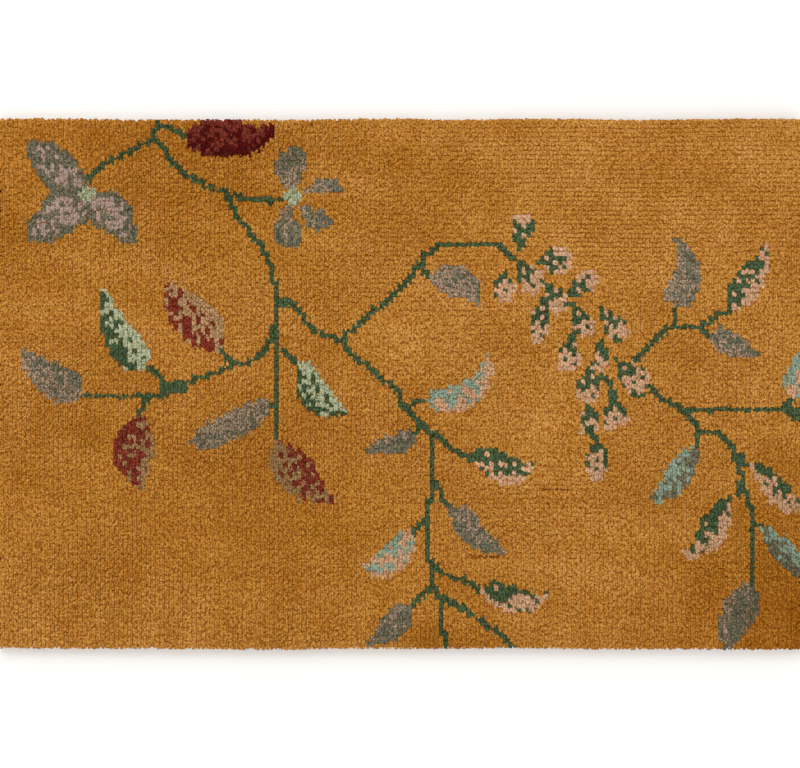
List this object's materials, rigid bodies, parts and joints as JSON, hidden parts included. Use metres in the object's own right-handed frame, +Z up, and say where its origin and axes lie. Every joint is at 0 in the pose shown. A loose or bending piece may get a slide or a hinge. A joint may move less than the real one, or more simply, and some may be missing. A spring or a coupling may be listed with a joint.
{
  "type": "hand-knotted wool pile rug, cut length",
  "caption": "Flat cut length of hand-knotted wool pile rug, gold ground with trailing vine, leaf, flower and butterfly motifs.",
  "frame": {"origin": "on the underside, under the middle of the length", "axes": "+Z up out of the pile, +X along the rows of knots, +Y along the warp"},
  "size_m": [0.5675, 0.3724, 0.0106],
  "materials": {
    "gold_wool": "cut wool pile, matt with a soft sheen, dye varying from knot to knot",
    "vine_green_wool": "cut wool pile, matt",
    "pale_green_wool": "cut wool pile, matt",
    "slate_wool": "cut pile of two strands twisted together, dark slate and pale grey-green",
    "mauve_wool": "cut pile of two strands twisted together, mauve and grey",
    "pink_wool": "cut wool pile, matt",
    "turquoise_wool": "cut pile of two strands twisted together, turquoise and grey",
    "maroon_wool": "cut wool pile, matt",
    "taupe_wool": "cut wool pile, matt",
    "crimson_wool": "cut wool pile, matt",
    "cotton_foundation": "unbleached cotton warp and weft, dull"
  },
  "bodies": {
    "root": {"pile_rug": "gold_wool"}
  },
  "joints": []
}
